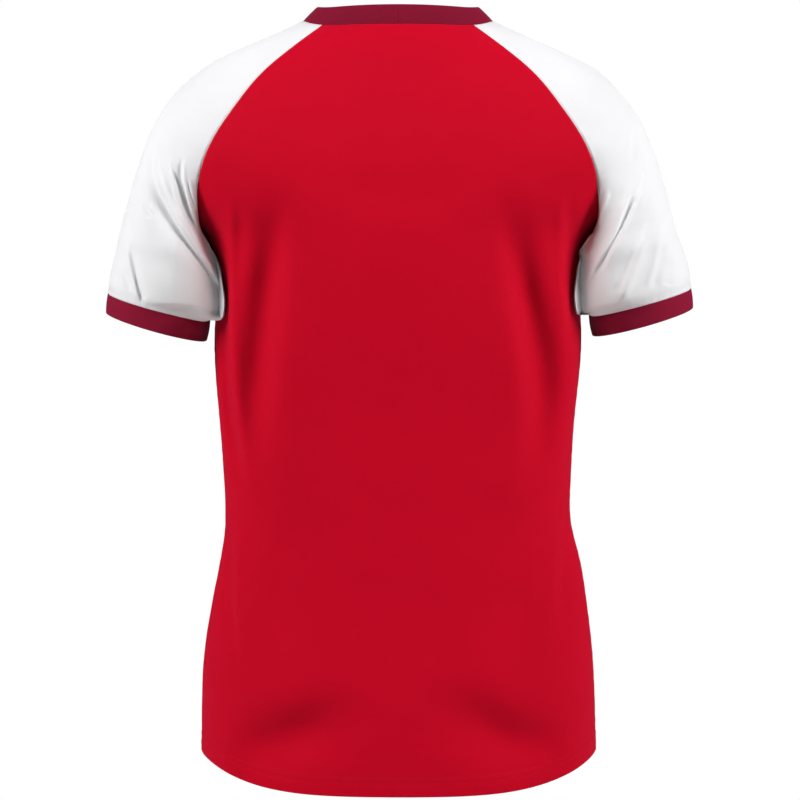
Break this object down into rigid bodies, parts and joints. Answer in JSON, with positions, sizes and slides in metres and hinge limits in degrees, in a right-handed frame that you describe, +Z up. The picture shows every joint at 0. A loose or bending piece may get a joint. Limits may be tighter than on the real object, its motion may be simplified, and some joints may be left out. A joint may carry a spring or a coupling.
{
  "type": "football jersey",
  "caption": "Short-sleeved raglan football jersey, filled out as worn, with a red body, white sleeves and a maroon neckband and cuffs.",
  "frame": {"origin": "middle of the neck opening, level with the points where the shoulders meet the neck, where the wearer's shoulders hold the shirt", "axes": "+Z up, +Y out of the shirt's back, -Y out of its front, +X towards the wearer's left sleeve"},
  "size_m": [0.5744, 0.251, 0.7501],
  "materials": {
    "body_cloth": "matt polyester knit with a soft sheen",
    "sleeve_cloth": "matt polyester knit with a soft sheen",
    "band_knit": "matt folded knit band"
  },
  "bodies": {
    "root": {"back_panel": "body_cloth", "front_panel": "body_cloth", "sleeve_left": "sleeve_cloth", "sleeve_right": "sleeve_cloth", "neckband": "band_knit", "cuff_left": "band_knit", "cuff_right": "band_knit"}
  },
  "joints": []
}
